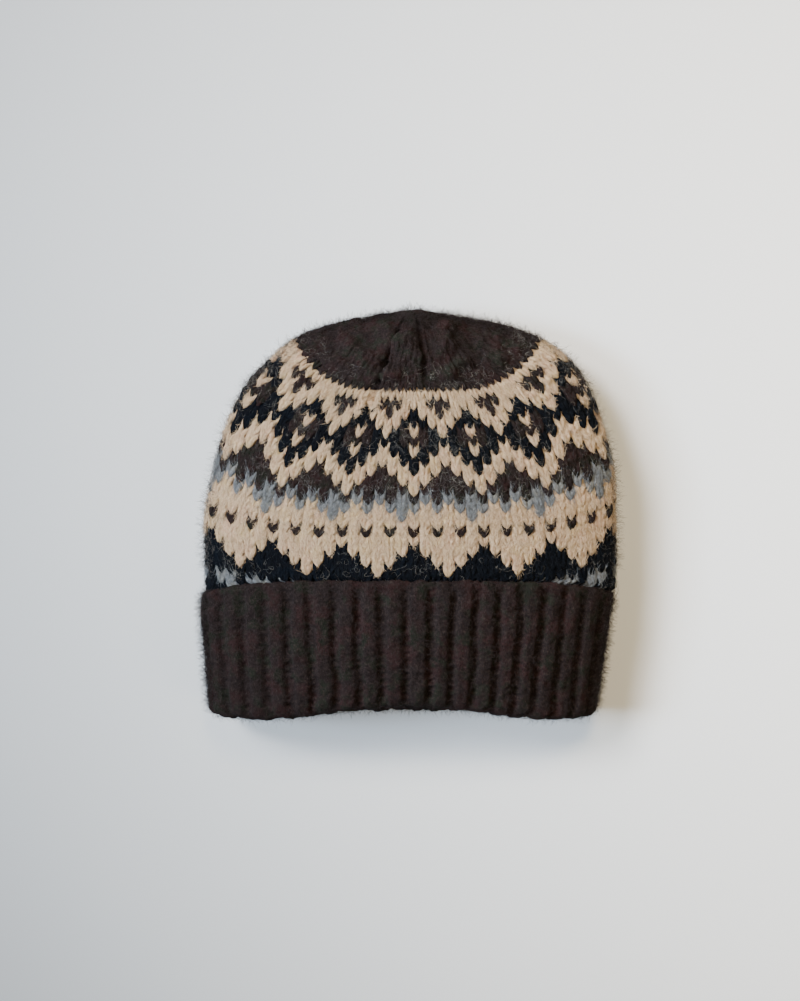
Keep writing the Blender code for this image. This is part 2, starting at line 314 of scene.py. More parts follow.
def cuff_section(height, inset):
    """Section of the cuff at a height above its fold, set in from its outer face."""
    rows = np.array(CUFF_OUTLINE)
    share = height / CUFF_HEIGHT
    left = np.interp(share, rows[:, 0], rows[:, 1]) * CUFF_WIDTH
    right = np.interp(share, rows[:, 0], rows[:, 2]) * CUFF_WIDTH
    mouth = np.interp(share, rows[:, 0], rows[:, 3]) * MOUTH_HEIGHT
    legs = 2 * FOLD_RADIUS
    return section(left, right, mouth + 2 * legs, 0.0, legs + MOUTH_SIDE_SHARE * mouth, legs, inset)


def body_ring(values, turn):
    """One ring of the body's outer face, drawn in where the cuff covers it."""
    row, middle, side, left, right, top, back, fold = values
    outline, x, z = section(
        left * BODY_WIDTH, right * BODY_WIDTH, top * BODY_HEIGHT, back * BODY_HEIGHT,
        SIDE_SHARE * BODY_HEIGHT, fold * (KNIT_WALL + FOLD_HOLLOW))
    middle_at = CUFF_HEIGHT + middle * (HAT_LENGTH - CUFF_HEIGHT)
    side_at = CUFF_SIDE_HEIGHT + side * (HAT_LENGTH - CUFF_SIDE_HEIGHT)
    y = side_at + (middle_at - side_at) * bow(turn)
    ring = np.stack((np.interp(turn, outline, x), y, np.interp(turn, outline, z)), 1)
    edge = CUFF_SIDE_HEIGHT + (CUFF_HEIGHT - CUFF_SIDE_HEIGHT) * bow(turn)
    outline, x, z = cuff_section(CUFF_HEIGHT, UNDER_CUFF)
    hidden = np.stack((np.interp(turn, outline, x), y, np.interp(turn, outline, z)), 1)
    shown = smooth_step((y - edge + EDGE_UNDER) / EDGE_STEP)[:, None]
    ring = hidden + (ring - hidden) * shown
    inward = ring.mean(0) - ring
    inward[:, 1] = 0.0
    inward /= np.linalg.norm(inward, axis=1)[:, None]
    sink = np.zeros(len(turn))
    for crease_turn, start, end, depth, half_width in CREASES:
        apart = np.abs((turn - crease_turn + 0.5) % 1.0 - 0.5)
        across = smooth_step(1.0 - apart / half_width)
        begun = smooth_step((row - start) / CREASE_FADE_ROWS)
        ended = smooth_step((end - row) / CREASE_FADE_ROWS)
        sink += depth * across * begun * ended
    return ring + inward * sink[:, None]


def face_of(rings, per_row, outward):
    """A face to lay stitches on, from rings of points: its points, outward normals and slopes."""
    grid = np.array(rings)
    along = np.gradient(grid, axis=0)
    across = (np.roll(grid, -1, axis=1) - np.roll(grid, 1, axis=1)) / 2.0
    normals = np.cross(across, along) * outward
    normals /= np.maximum(np.linalg.norm(normals, axis=2), 1e-12)[:, :, None]
    return {"points": grid, "normals": normals, "across": across * grid.shape[1],
            "along": along * per_row, "per_row": per_row}


def sample(face, what, row, turn):
    """A face's points, normals or slopes at any rows and turns, by mixing the nearest four."""
    values = face[what]
    levels, count = values.shape[:2]
    level = np.clip(row * face["per_row"], 0.0, levels - 1.001)
    column = (turn % 1.0) * count
    low, left = level.astype(int), column.astype(int) % count
    up, over = (level - low)[..., None], (column - column.astype(int))[..., None]
    right = (left + 1) % count
    near = values[low, left] * (1.0 - over) + values[low, right] * over
    far = values[low + 1, left] * (1.0 - over) + values[low + 1, right] * over
    return near * (1.0 - up) + far * up


turn_grid = np.arange(GRID_TURNS) / GRID_TURNS
row_grid = np.arange(0, LAST_ROW * GRID_PER_ROW + 1) / GRID_PER_ROW
rings = [body_ring(values, turn_grid) for values in eased(BODY_ROWS, row_grid)]
tip = np.array((0.0, HAT_LENGTH, SIDE_SHARE * BODY_HEIGHT))
for step in range(1, GRID_PER_ROW):
    share = step / GRID_PER_ROW
    rings.append(rings[LAST_ROW * GRID_PER_ROW] * (1.0 - share) + tip * share)
body_face = face_of([ring + hat_origin for ring in rings], GRID_PER_ROW, 1.0)


# Patterned band
# Stranded colour work in four colours of carded wool, brushed after knitting so that the stitches
# run together. Each stitch is a V of two plump legs, whose tip lies over the stitch below it.
CHART = (
    # the six stitches of a repeat, from the cuff up: k black, g grey, c cream, b brown
    "kkkkkk", "kkkkkk", "kkkgkk", "kkgkgk", "kggkgg", "kkkkkk", "kkkckk", "kkccck", "kccccc",
    "cccccc", "bcbcbc", "cccccc", "cccccg", "gcgcgg", "bgbgbg", "cbbbbb", "ccbbbc", "kccbcc",
    "kkccck", "ckkckk", "bbkkkb", "cbkckb", "kkccck", "kccbcc", "ccbbbc", "cccccc",
)
FIRST_SHOWN_ROW = 1
HIDDEN_MARGIN = 0.006
LEG_HALF_WIDTH = 0.27
LEG_HALF_HEIGHT = 0.00115
LEG_SINK = 0.00095
LEG_REACH = 1.50
LEG_STATIONS = (
    # share, column, width, height, lift in metres
    (0.00, 0.020, 0.12, 0.25, -0.00070),
    (0.14, 0.075, 0.46, 0.70, -0.00020),
    (0.33, 0.150, 0.80, 1.00, 0.00005),
    (0.56, 0.225, 1.00, 1.00, -0.00010),
    (0.80, 0.275, 0.92, 0.90, -0.00080),
    (1.00, 0.300, 0.45, 0.50, -0.00150),
)
LEG_ANGLES = np.radians((0, 50, 90, 130, 180, 270))
LEG_FLATNESS = 0.75
UNEVEN = 0.08
LEG_SHIFT = 0.05
LEG_START = 0.08
LEG_RAISE = 0.00015
LEG_ROUGHNESS = 0.10
NUMBER_STEP = 3.7
NUMBER_SPAN = 97.0
FLOOR_GAP = 0.0002


def show(name, points, polygons, fibre, material, nodes, slot):
    """A piece of the knitting from points and polygons. It rests on the table where it would reach
    lower. Its fibre attribute holds places along the yarn and round it, and a number of the leg's
    or strand's own."""
    points = points.reshape(-1, 3).copy()
    points[:, 2] = np.maximum(points[:, 2], FLOOR_GAP)
    mesh = bpy.data.meshes.new(name)
    mesh.from_pydata(points, [], polygons)
    mesh.shade_smooth()
    mesh.materials.append(material)
    attribute = mesh.attributes.new("fibre", "FLOAT_VECTOR", "POINT")
    attribute.data.foreach_set("vector", fibre.astype(np.float32).ravel())
    piece = bpy.data.objects.new(name, mesh)
    bpy.context.scene.collection.objects.link(piece)
    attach(piece, "root")
    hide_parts(*nodes)
    return piece


def tubes(centre, side, up, half_width, half_height):
    """Points, polygons and fibre values of closed tubes along lines of points, with side and up
    giving the plane of each ring."""
    count, rings, _ = centre.shape
    sides = len(LEG_ANGLES)
    cosine, sine = np.cos(LEG_ANGLES), np.sin(LEG_ANGLES)
    cosine = np.sign(cosine) * np.abs(cosine) ** LEG_FLATNESS
    sine = np.sign(sine) * np.abs(sine) ** LEG_FLATNESS
    rough = np.random.default_rng(count).normal(1.0, LEG_ROUGHNESS, (count, rings, sides, 1))
    round_it = (side[:, :, None] * (half_width[:, :, None] * cosine)[..., None]
                + up[:, :, None] * (half_height[:, :, None] * sine)[..., None])
    skin = centre[:, :, None] + round_it * rough
    points = np.concatenate((skin.reshape(count, -1, 3), centre[:, :1], centre[:, -1:]), 1)
    stride = points.shape[1]
    faces = []
    for ring in range(rings - 1):
        for at in range(sides):
            following = (at + 1) % sides
            low, high = ring * sides, (ring + 1) * sides
            faces.append((low + at, high + at, high + following, low + following))
    top = (rings - 1) * sides
    caps = [(stride - 2, at, (at + 1) % sides) for at in range(sides)]
    caps += [(stride - 1, top + (at + 1) % sides, top + at) for at in range(sides)]
    heading = centre[0, 1] - centre[0, 0]
    if np.dot(np.cross(side[0, 0], up[0, 0]), heading) > 0:
        faces = [face[::-1] for face in faces]
        caps = [face[::-1] for face in caps]
    starts = (np.arange(count) * stride)[:, None, None]
    polygons = (starts + np.array(faces)).reshape(-1, 4).tolist()
    polygons += (starts + np.array(caps)).reshape(-1, 3).tolist()
    step = np.linalg.norm(np.diff(centre, axis=1), axis=2)
    travelled = np.concatenate((np.zeros((count, 1)), np.cumsum(step, axis=1)), 1) * 1000.0
    fibre = np.zeros((count, stride, 3))
    fibre[:, :-2, 0] = np.repeat(travelled, sides, axis=1)
    fibre[:, -1, 0] = travelled[:, -1]
    fibre[:, :-2, 1] = np.tile(LEG_ANGLES, (count, rings))
    fibre[:, :, 2] = (np.arange(count) * NUMBER_STEP % NUMBER_SPAN)[:, None]
    return points, polygons, fibre


def v_stitches(face, row, turn, columns, half_width, half_height, seed):
    """Two legs for each stitch, from the tip of its V up under the stitch above."""
    chance = np.random.default_rng(seed)
    share, column, width, height, lift = np.array(LEG_STATIONS).T
    count = len(row)
    wobble = 1.0 + UNEVEN * chance.standard_normal((count, 1))
    shift = LEG_SHIFT * chance.standard_normal((count, 1))
    raised = LEG_RAISE * chance.standard_normal((count, 1))
    centre, side, up, wide, high = [], [], [], [], []
    for hand in (-1.0, 1.0):
        start = LEG_START * chance.standard_normal((count, 1)) * (1.0 - share)
        rows_at = row[:, None] + LEG_REACH * share + start
        turns_at = turn[:, None] + (hand * column + shift * share) / columns[:, None]
        normal = sample(face, "normals", rows_at, turns_at)
        normal /= np.linalg.norm(normal, axis=2)[:, :, None]
        across = sample(face, "across", rows_at, turns_at)
        pitch = np.linalg.norm(across, axis=2)
        side.append(across / pitch[:, :, None])
        up.append(normal)
        place = sample(face, "points", rows_at, turns_at)
        centre.append(place + normal * (lift - LEG_SINK + raised)[:, :, None])
        wide.append(half_width * wobble * width * pitch / columns[:, None])
        high.append(half_height * height * np.ones((count, 1)))
    return tubes(*(np.concatenate(part) for part in (centre, side, up, wide, high)))


def cuff_edge(turn):
    """How far up the free edge of the cuff lies."""
    return hat_origin[1] + CUFF_SIDE_HEIGHT + (CUFF_HEIGHT - CUFF_SIDE_HEIGHT) * bow(turn % 1.0)


# Carding leaves patches of 10 mm and blends of 6 mm, and spinning leaves streaks of 1.8 mm along the
# yarn. The flecks stand for single fibres, drawn much coarser than their 0.03 mm so that they show.
STREAK_PER_MM = 0.55
STREAKS_ROUND = 5.0
PATCHES_PER_METRE = 95.0
BLENDS_PER_METRE = 161.5
FLECKS_PER_METRE = 750.0
FUZZ_DEPTH = 0.0011


def carded_wool(name, colour, warm, cool, light, dark, sheen):
    """Brushed woollen yarn: patches of blended fleece, fine light and dark flecks, streaks along the
    yarn, and a soft bloom of fibres at grazing angles."""
    material, tree, shader = blank_material(name)
    place = add(tree, "ShaderNodeTexCoord", {}, {})
    fibre = add(tree, "ShaderNodeAttribute", {
        "attribute_type": "GEOMETRY", "attribute_name": "fibre"}, {})
    stretched = add(tree, "ShaderNodeVectorMath", {"operation": "MULTIPLY"}, {
        0: fibre.outputs["Vector"], 1: (STREAK_PER_MM, STREAKS_ROUND, 1.0)})
    streak = add(tree, "ShaderNodeTexNoise", {}, {
        "Vector": stretched.outputs[0], "Scale": 1.0, "Detail": 3.0, "Roughness": 0.6})
    patch = add(tree, "ShaderNodeTexNoise", {}, {
        "Vector": place.outputs["Object"], "Scale": PATCHES_PER_METRE, "Detail": 2.0})
    blend = add(tree, "ShaderNodeTexNoise", {"noise_dimensions": "4D"}, {
        "Vector": place.outputs["Object"], "W": 3.0, "Scale": BLENDS_PER_METRE, "Detail": 2.0})
    fleck = add(tree, "ShaderNodeTexNoise", {}, {
        "Vector": place.outputs["Object"], "Scale": FLECKS_PER_METRE, "Detail": 3.0, "Roughness": 0.7})
    warm_share = add(tree, "ShaderNodeMapRange", {}, {
        "Value": patch.outputs["Fac"], "From Min": 0.46, "From Max": 0.62})
    cool_share = add(tree, "ShaderNodeMapRange", {}, {
        "Value": blend.outputs["Fac"], "From Min": 0.50, "From Max": 0.64})
    light_share = add(tree, "ShaderNodeMapRange", {}, {
        "Value": fleck.outputs["Fac"], "From Min": 0.50, "From Max": 0.68, "To Max": 0.9})
    dark_share = add(tree, "ShaderNodeMapRange", {}, {
        "Value": streak.outputs["Fac"], "From Min": 0.54, "From Max": 0.32, "To Max": 0.9})
    warmed = add(tree, "ShaderNodeMix", {"data_type": "RGBA"}, {
        "Factor": warm_share.outputs["Result"], "A": linear(colour), "B": linear(warm)})
    cooled = add(tree, "ShaderNodeMix", {"data_type": "RGBA"}, {
        "Factor": cool_share.outputs["Result"], "A": warmed.outputs["Result"], "B": linear(cool)})
    flecked = add(tree, "ShaderNodeMix", {"data_type": "RGBA"}, {
        "Factor": light_share.outputs["Result"], "A": cooled.outputs["Result"], "B": linear(light)})
    streaked = add(tree, "ShaderNodeMix", {"data_type": "RGBA"}, {
        "Factor": dark_share.outputs["Result"], "A": flecked.outputs["Result"], "B": linear(dark)})
    relief = add(tree, "ShaderNodeMath", {"operation": "ADD"}, {
        0: streak.outputs["Fac"], 1: fleck.outputs["Fac"]})
    bump = add(tree, "ShaderNodeBump", {}, {
        "Strength": 0.7, "Distance": FUZZ_DEPTH, "Height": relief.outputs[0]})
    tree.links.new(streaked.outputs["Result"], shader.inputs["Base Color"])
    tree.links.new(bump.outputs["Normal"], shader.inputs["Normal"])
    shader.inputs["Roughness"].default_value = 0.95
    shader.inputs["Specular IOR Level"].default_value = 0.05
    shader.inputs["IOR"].default_value = 1.55
    shader.inputs["Sheen Weight"].default_value = sheen
    shader.inputs["Sheen Roughness"].default_value = 0.55
    shader.inputs["Sheen Tint"].default_value = linear(light)
    return material


cream_wool = carded_wool("cream_carded_wool", "bca284", "c09e84", "bda47b", "d2bc9e", "97795b", 0.10)
black_wool = carded_wool("black_carded_wool", "0b0d12", "0e1015", "0a1018", "141920", "06070a", 0.03)
brown_wool = carded_wool("brown_heathered_wool", "241d1d", "2d1e1e", "21231d", "382f2c", "0f0d0d", 0.05)
grey_wool = carded_wool("grey_heathered_wool", "6b6d70", "64686d", "7a7972", "97999a", "4b4d50", 0.10)

chart_rows = np.array([list(repeat) for repeat in CHART])
rows, columns = np.meshgrid(
    np.arange(FIRST_SHOWN_ROW, len(CHART)), np.arange(STITCHES_ROUND), indexing="ij")
rows, columns = rows.ravel(), columns.ravel()
yarn = chart_rows[rows, columns % chart_rows.shape[1]]
stitch_turn = columns / STITCHES_ROUND
height = sample(body_face, "points", rows + LEG_REACH, stitch_turn)[:, 1]
shown = height > cuff_edge(stitch_turn) - HIDDEN_MARGIN
for letter, name, material in (
    ("c", "cream_stitches", cream_wool), ("k", "black_stitches", black_wool),
    ("b", "brown_stitches", brown_wool), ("g", "grey_stitches", grey_wool),
):
    chosen = shown & (yarn == letter)
    legs = v_stitches(
        body_face, rows[chosen].astype(float), stitch_turn[chosen],
        np.full(chosen.sum(), float(STITCHES_ROUND)), LEG_HALF_WIDTH, LEG_HALF_HEIGHT, ord(letter))
    show(name, *legs, material, ["patterned_band"], "patterned_wool")


# Felted ground
# Brushing has matted the fibres between the stitches. One sheet under the legs fills the creases,
# nearly level with the legs inside one colour and lower where two colours meet.
GROUND_DEPTH = 0.00130
MATTED_RISE = 0.00110
GROUND_PER_STITCH = 4
GROUND_PER_ROW = 3
GROUND_ROUGHNESS = 0.00012
LAST_GROUND_ROW = 28
ROW_MM = 4.8
GRAIN_ROUND = 4.0 * STITCHES_ROUND
V_RISE = 0.95
NEIGHBOURS = (
    # rows, columns
    (0.5, 0.0), (-0.5, 0.0), (0.0, 0.45), (0.0, -0.45), (0.9, 0.0), (-0.9, 0.0),
)


def stitch_colour(row, turn):
    """The chart letter of the stitch that shows at a place, whose lower edge is a V."""
    column = turn * STITCHES_ROUND
    nearest = np.round(column)
    row = np.floor(row - V_RISE * (2.0 * np.abs(column - nearest)) ** 2).astype(int)
    letters = chart_rows[np.clip(row, 0, len(CHART) - 1), nearest.astype(int) % chart_rows.shape[1]]
    return np.where(row >= len(CHART), "b", letters)


def matted(row, turn):
    """1 inside one colour, less where a stitch of another colour is near."""
    here = stitch_colour(row, turn)
    same = np.ones(row.shape)
    for row_step, column_step in NEIGHBOURS:
        same -= (stitch_colour(row + row_step, turn + column_step / STITCHES_ROUND) != here) / 3.0
    return np.clip(same, 0.0, 1.0)


def sheet(points, row_at, outward=True):
    """Points, polygons and fibre values of a sheet of quads through rings of points."""
    levels, count = points.shape[:2]
    level, column = np.meshgrid(np.arange(levels - 1), np.arange(count), indexing="ij")
    following = (column + 1) % count
    corners = [level * count + column, level * count + following,
               (level + 1) * count + following, (level + 1) * count + column]
    if not outward:
        corners = corners[::-1]
    polygons = np.stack(corners, -1).reshape(-1, 4).tolist()
    turned = np.broadcast_to(np.arange(count) / count * GRAIN_ROUND, row_at.shape)
    fibre = np.stack((row_at * ROW_MM, turned, np.zeros_like(row_at)), -1)
    return points, polygons, fibre


def mesh_grid(first, last, per_row, count):
    """Rows and turns of a sheet's points."""
    levels = first + np.arange(0, round((last - first) * per_row) + 1) / per_row
    return np.meshgrid(levels, np.arange(count) / count, indexing="ij")


row_at, turn_at = mesh_grid(0.0, LAST_GROUND_ROW, GROUND_PER_ROW, STITCHES_ROUND * GROUND_PER_STITCH)
chance = np.random.default_rng(5)
depth = GROUND_DEPTH - MATTED_RISE * matted(row_at, turn_at)
depth += GROUND_ROUGHNESS * chance.standard_normal(row_at.shape)
ground_points = sample(body_face, "points", row_at, turn_at)
ground_points -= sample(body_face, "normals", row_at, turn_at) * depth[..., None]
ground = show(
    "felted_ground", *sheet(ground_points, row_at), cream_wool,
    ["patterned_band", "crown"], "patterned_wool")
for material in (black_wool, brown_wool, grey_wool):
    ground.data.materials.append(material)
half_row, half_turn = 0.5 / GROUND_PER_ROW, 0.5 / row_at.shape[1]
letters = stitch_colour(row_at[:-1] + half_row, turn_at[:-1] + half_turn)
slots = np.select([letters == "c", letters == "k", letters == "b"], [0, 1, 2], 3)
ground.data.polygons.foreach_set("material_index", slots.ravel().astype(np.int32))


# Crown
# Plain brown top in the same stitch, narrowed by decreases in 13 places and gathered at the tip. It
# is felted so hard that only its first rows show as stitches. Above them it is a soft lumpy skin.
CROWN_V_ROWS = 2
CROWN_HALF_WIDTH = 0.29
SKIN_FIRST_ROW = 26.3
SKIN_PER_STITCH = 6
SKIN_PER_ROW = 6
SKIN_LOW = 0.0016
SKIN_RISE_ROWS = 1.6
LUMP_HEIGHT = 0.0013
BIG_LUMPS = 0.0026
FOLD_CALM = 0.075
FELT_SPAN = 0.25
TIP_GATHER = 0.92
SKIN_LUMPS = 0.0018
SKIN_ROUGHNESS = 0.00022
CROWN_COLUMNS = (
    # start row, columns
    (26.0, 78), (27.8, 39), (30.5, 26), (33.0, 13),
)
COLUMN_CHANGE_ROWS = 1.6
ROW_STAGGER = 0.37
COLUMN_SLANT = 0.005
STITCH_CALM = 0.85
STITCH_CALM_ROW = 28.0
STITCH_CALM_ROWS = 5.0
TIP_CALM = 0.65
TIP_CALM_ROW = 33.0
TIP_CALM_ROWS = 3.0
FELT_ALONG = 2500.0
FELT_ACROSS = 500.0
DRIFT_ROWS = 60
DRIFT_START = 4.0


def drift(row, turn, per_row, columns, seed):
    """Smooth random values from -1 to 1, so many of them a row and so many round a turn."""
    chance = np.random.default_rng(seed)
    levels = int(DRIFT_ROWS * per_row) + 3
    values = chance.uniform(-1.0, 1.0, (levels, columns))
    level, column = (row + DRIFT_START) * per_row, (turn % 1.0) * columns
    low, left = level.astype(int), column.astype(int) % columns
    up, over = smooth_step(level - low), smooth_step(column - column.astype(int))
    right = (left + 1) % columns
    near = values[low, left] * (1.0 - over) + values[low, right] * over
    far = values[low + 1, left] * (1.0 - over) + values[low + 1, right] * over
    return near * (1.0 - up) + far * up


def lumps(row, turn, columns):
    """Soft relief of felted stitches, 1 on the legs and 0 in the creases."""
    column = turn * columns
    apart = 2.0 * np.abs(column - np.round(column))
    legs = np.sin(math.pi * np.clip(apart, 0.0, 1.0)) ** 0.8
    along = np.sin(math.pi * ((row - V_RISE * apart) % 1.0)) ** 0.6
    return (0.25 + 0.75 * legs) * (0.45 + 0.55 * along)


first_rows = np.repeat(np.arange(len(CHART), len(CHART) + CROWN_V_ROWS), STITCHES_ROUND).astype(float)
first_turns = np.tile(np.arange(STITCHES_ROUND) / STITCHES_ROUND, CROWN_V_ROWS)
legs = v_stitches(
    body_face, first_rows, first_turns, np.full(len(first_rows), float(STITCHES_ROUND)),
    CROWN_HALF_WIDTH, LEG_HALF_HEIGHT, 7)
show("crown_stitches", *legs, brown_wool, ["crown"], "brown_wool")

row_at, turn_at = mesh_grid(
    SKIN_FIRST_ROW, TIP_ROW - 0.25, SKIN_PER_ROW, STITCHES_ROUND * SKIN_PER_STITCH)
slant = COLUMN_SLANT * drift(row_at, turn_at, 0.6, 26, 21)
relief = np.zeros(row_at.shape)
for at, (start, columns) in enumerate(CROWN_COLUMNS):
    begun = np.ones(row_at.shape)
    if at > 0:
        begun = smooth_step((row_at - start + COLUMN_CHANGE_ROWS / 2.0) / COLUMN_CHANGE_ROWS)
    relief = relief * (1.0 - begun) + lumps(row_at + at * ROW_STAGGER, turn_at + slant, columns) * begun
begun = smooth_step((row_at - SKIN_FIRST_ROW) / SKIN_RISE_ROWS)
tip_calm = 1.0 - TIP_CALM * smooth_step((row_at - TIP_CALM_ROW) / TIP_CALM_ROWS)
stitch_calm = 1.0 - STITCH_CALM * smooth_step((row_at - STITCH_CALM_ROW) / STITCH_CALM_ROWS)
height = -SKIN_LOW * (1.0 - begun) + LUMP_HEIGHT * (relief - 0.75) * stitch_calm

# Felting has tangled the fibres, so the lumps don't follow the rounds of stitches
skin_points = sample(body_face, "points", row_at, turn_at)
felt_row = (skin_points[..., 1] - hat_origin[1]) * 1000.0 / ROW_MM
felt_turn = skin_points[..., 0] / FELT_SPAN
wide_lumps = drift(felt_row, felt_turn, 0.9, 44, 22)
small_lumps = drift(felt_row, felt_turn, 2.0, 100, 23)
big_lumps = drift(felt_row, felt_turn, 0.55, 26, 25)
height += SKIN_LUMPS * (0.6 * wide_lumps + 0.4 * small_lumps) * tip_calm
fold_calm = smooth_step(np.abs(turn_at % 0.5 - 0.25) / FOLD_CALM)
height += BIG_LUMPS * big_lumps * begun * tip_calm * fold_calm
height += SKIN_ROUGHNESS * np.random.default_rng(24).standard_normal(row_at.shape) * tip_calm
skin_points += sample(body_face, "normals", row_at, turn_at) * height[..., None]

# The end of the yarn draws the last round shut. The felt's streaks run up the crown, 0.7 mm long and
# 0.4 mm wide.
skin_points[-1] += TIP_GATHER * (skin_points[-1].mean(0) - skin_points[-1])
points, polygons, fibre = sheet(skin_points, row_at)
fibre[..., 0] = points[..., 1] * FELT_ALONG
fibre[..., 1] = points[..., 0] * FELT_ACROSS
show("crown_felt", points, polygons, fibre, brown_wool, ["crown"], "brown_wool")


# Ribbed cuff
# One strip of knit one, purl one rib in the brown yarn, soft with felting. It starts at the rolled
# free edge, runs down the outside, turns at the mouth and goes up inside to the seam.
RIBS = 39
EDGE_ROWS = 1
OUTER_ROWS = 14
FOLD_ROWS = 4
INNER_ROWS = 9
EDGE_RADIUS = 0.0023
SEAM_HEIGHT = CUFF_SIDE_HEIGHT - 0.0150
RIB_GRID_PER_ROW = 5
RIB_GRID = 12
RIB_SHIFT = 0.25
CREST_HALF = 0.25
VALLEY_SLOPE = 0.21
VALLEY_DEPTH = 0.0027
FOLD_VALLEY_SHARE = 0.25
CREST_ROUND = 0.0006
RIB_LUMPS = 0.0010
RIB_ROUGHNESS = 0.00016
RIB_WANDER = 0.07
RIB_WIDTH_CHANGE = 0.18
EDGE_DEPTH_SHARE = 0.15
EDGE_DEPTH_ROWS = 3.0
VALLEY_BEADS = 0.0004
SEAM_TUCK = 0.0030
LIP_RECESS = 0.0085
LIP_HALF_WIDTH = 0.20
LIP_HEIGHT = 0.045


def lip(turn, height):
    """How far the front of the cuff is drawn back along the hat at a height above its fold."""
    apart = np.abs((turn + 0.5) % 1.0 - 0.5)
    drawn_back = LIP_RECESS * smooth_step(1.0 - apart / LIP_HALF_WIDTH)
    return drawn_back * smooth_step(1.0 - height / LIP_HEIGHT)


strip_rows = EDGE_ROWS + OUTER_ROWS + FOLD_ROWS + INNER_ROWS
rings = []
for path in np.arange(0, strip_rows * RIB_GRID_PER_ROW + 1) / RIB_GRID_PER_ROW:
    roll = 0.5 * math.pi * np.clip(path / EDGE_ROWS, 0.0, 1.0)
    down = np.clip((path - EDGE_ROWS) / OUTER_ROWS, 0.0, 1.0)
    angle = math.pi * np.clip((path - EDGE_ROWS - OUTER_ROWS) / FOLD_ROWS, 0.0, 1.0)
    rise = np.clip((path - EDGE_ROWS - OUTER_ROWS - FOLD_ROWS) / INNER_ROWS, 0.0, 1.0)
    top = EDGE_RADIUS * (1.0 - math.cos(roll)) if path < EDGE_ROWS else EDGE_RADIUS
    inset = FOLD_RADIUS * (1.0 - math.cos(angle)) + EDGE_RADIUS * (1.0 - math.sin(roll))
    low = FOLD_RADIUS * (1.0 - math.sin(angle)) + rise * (SEAM_HEIGHT - FOLD_RADIUS)
    middle = low + (1.0 - down) * (CUFF_HEIGHT - FOLD_RADIUS - top)
    side = low + (1.0 - down) * (CUFF_SIDE_HEIGHT - FOLD_RADIUS - top)
    turns, x, z = cuff_section(middle, inset)
    y = side + (middle - side) * bow(turn_grid) + lip(turn_grid, middle)
    ring = np.stack((np.interp(turn_grid, turns, x), y, np.interp(turn_grid, turns, z)), 1)
    rings.append(ring + hat_origin)
rib_face = face_of(rings, RIB_GRID_PER_ROW, -1.0)


def rib_points(first, last, per_row, per_rib, calm):
    """Points of a stretch of the strip, pressed in between the ribs, and their rows."""
    row, turn = mesh_grid(first, last, per_row, RIBS * per_rib)
    phase = turn * RIBS - RIB_SHIFT + RIB_WANDER * drift(row, turn, 0.3, RIBS, 31)
    apart = np.abs(phase - np.round(phase))
    width = CREST_HALF * (1.0 + RIB_WIDTH_CHANGE * drift(row, turn, 0.25, RIBS, 32))
    valley = smooth_step((apart - width) / VALLEY_SLOPE)
    bend = np.clip((row - EDGE_ROWS - OUTER_ROWS) / FOLD_ROWS, 0.0, 1.0)
    deep = 1.0 - (1.0 - FOLD_VALLEY_SHARE) * np.sin(math.pi * bend) ** 2
    deep *= EDGE_DEPTH_SHARE + (1.0 - EDGE_DEPTH_SHARE) * smooth_step(row / EDGE_DEPTH_ROWS)
    depth = VALLEY_DEPTH * deep * valley + CREST_ROUND * (apart / CREST_HALF) ** 2 * (1.0 - valley)
    depth -= 0.5 * RIB_LUMPS * (lumps(-row, phase / RIBS, RIBS) - 0.6) * (1.0 - valley)
    depth -= VALLEY_BEADS * valley * np.sin(2.0 * math.pi * row)
    wide_lumps = drift(row, turn, 0.8, 2 * RIBS, 33)
    small_lumps = drift(row, turn, 2.1, 5 * RIBS, 34)
    depth -= RIB_LUMPS * (0.5 * wide_lumps + 0.35 * small_lumps)
    depth -= RIB_ROUGHNESS * np.random.default_rng(35).standard_normal(row.shape) * calm
    depth += SEAM_TUCK * smooth_step(row - strip_rows + 1.0)
    inward = sample(rib_face, "normals", row, turn) * depth[..., None]
    return sample(rib_face, "points", row, turn) - inward, row


inner_start = EDGE_ROWS + OUTER_ROWS + FOLD_ROWS - 0.5
outer_points, row_at = rib_points(0.0, inner_start, RIB_GRID_PER_ROW, RIB_GRID, 1.0)
show("turned_up_ribs", *sheet(outer_points, row_at, outward=False), brown_wool,
     ["ribbed_cuff"], "ribbed_brown_wool")
inner_points, row_at = rib_points(inner_start, strip_rows, 4, 10, 0.5)
show("inner_ribs", *sheet(inner_points, row_at, outward=False), brown_wool,
     ["ribbed_cuff"], "ribbed_brown_wool")


# Wrong side
# The inside of the hat shows purl bumps of each stitch, and between them the other yarn of the row,
# which is carried loosely across the back of the stitches.
WRONG_SIDE_PER_STITCH = 3
WRONG_SIDE_PER_ROW = 2
PURL_BUMP = 0.0005
PURL_ROUGHNESS = 0.0002
CARRIED_SHIFT = 3

row_at, turn_at = mesh_grid(
    0.0, TIP_ROW - 1.0, WRONG_SIDE_PER_ROW, STITCHES_ROUND * WRONG_SIDE_PER_STITCH)
bump = np.sin(row_at * math.pi + 0.5) * np.cos(turn_at * STITCHES_ROUND * 2.0 * math.pi)
depth = KNIT_WALL + PURL_BUMP * bump
depth += PURL_ROUGHNESS * np.random.default_rng(41).standard_normal(row_at.shape)
wrong_points = sample(body_face, "points", row_at, turn_at)
wrong_points -= sample(body_face, "normals", row_at, turn_at) * depth[..., None]
wrong_side = show(
    "wrong_side", *sheet(wrong_points, row_at, outward=False), cream_wool,
    ["patterned_band", "crown"], "patterned_wool")
for material in (black_wool, brown_wool, grey_wool):
    wrong_side.data.materials.append(material)
row_of = np.floor(row_at[:-1] + 0.25).astype(int)
column_of = np.floor(turn_at[:-1] * STITCHES_ROUND + 0.25).astype(int)
carried = (np.arange(len(row_of)) % WRONG_SIDE_PER_ROW == 1)[:, None]
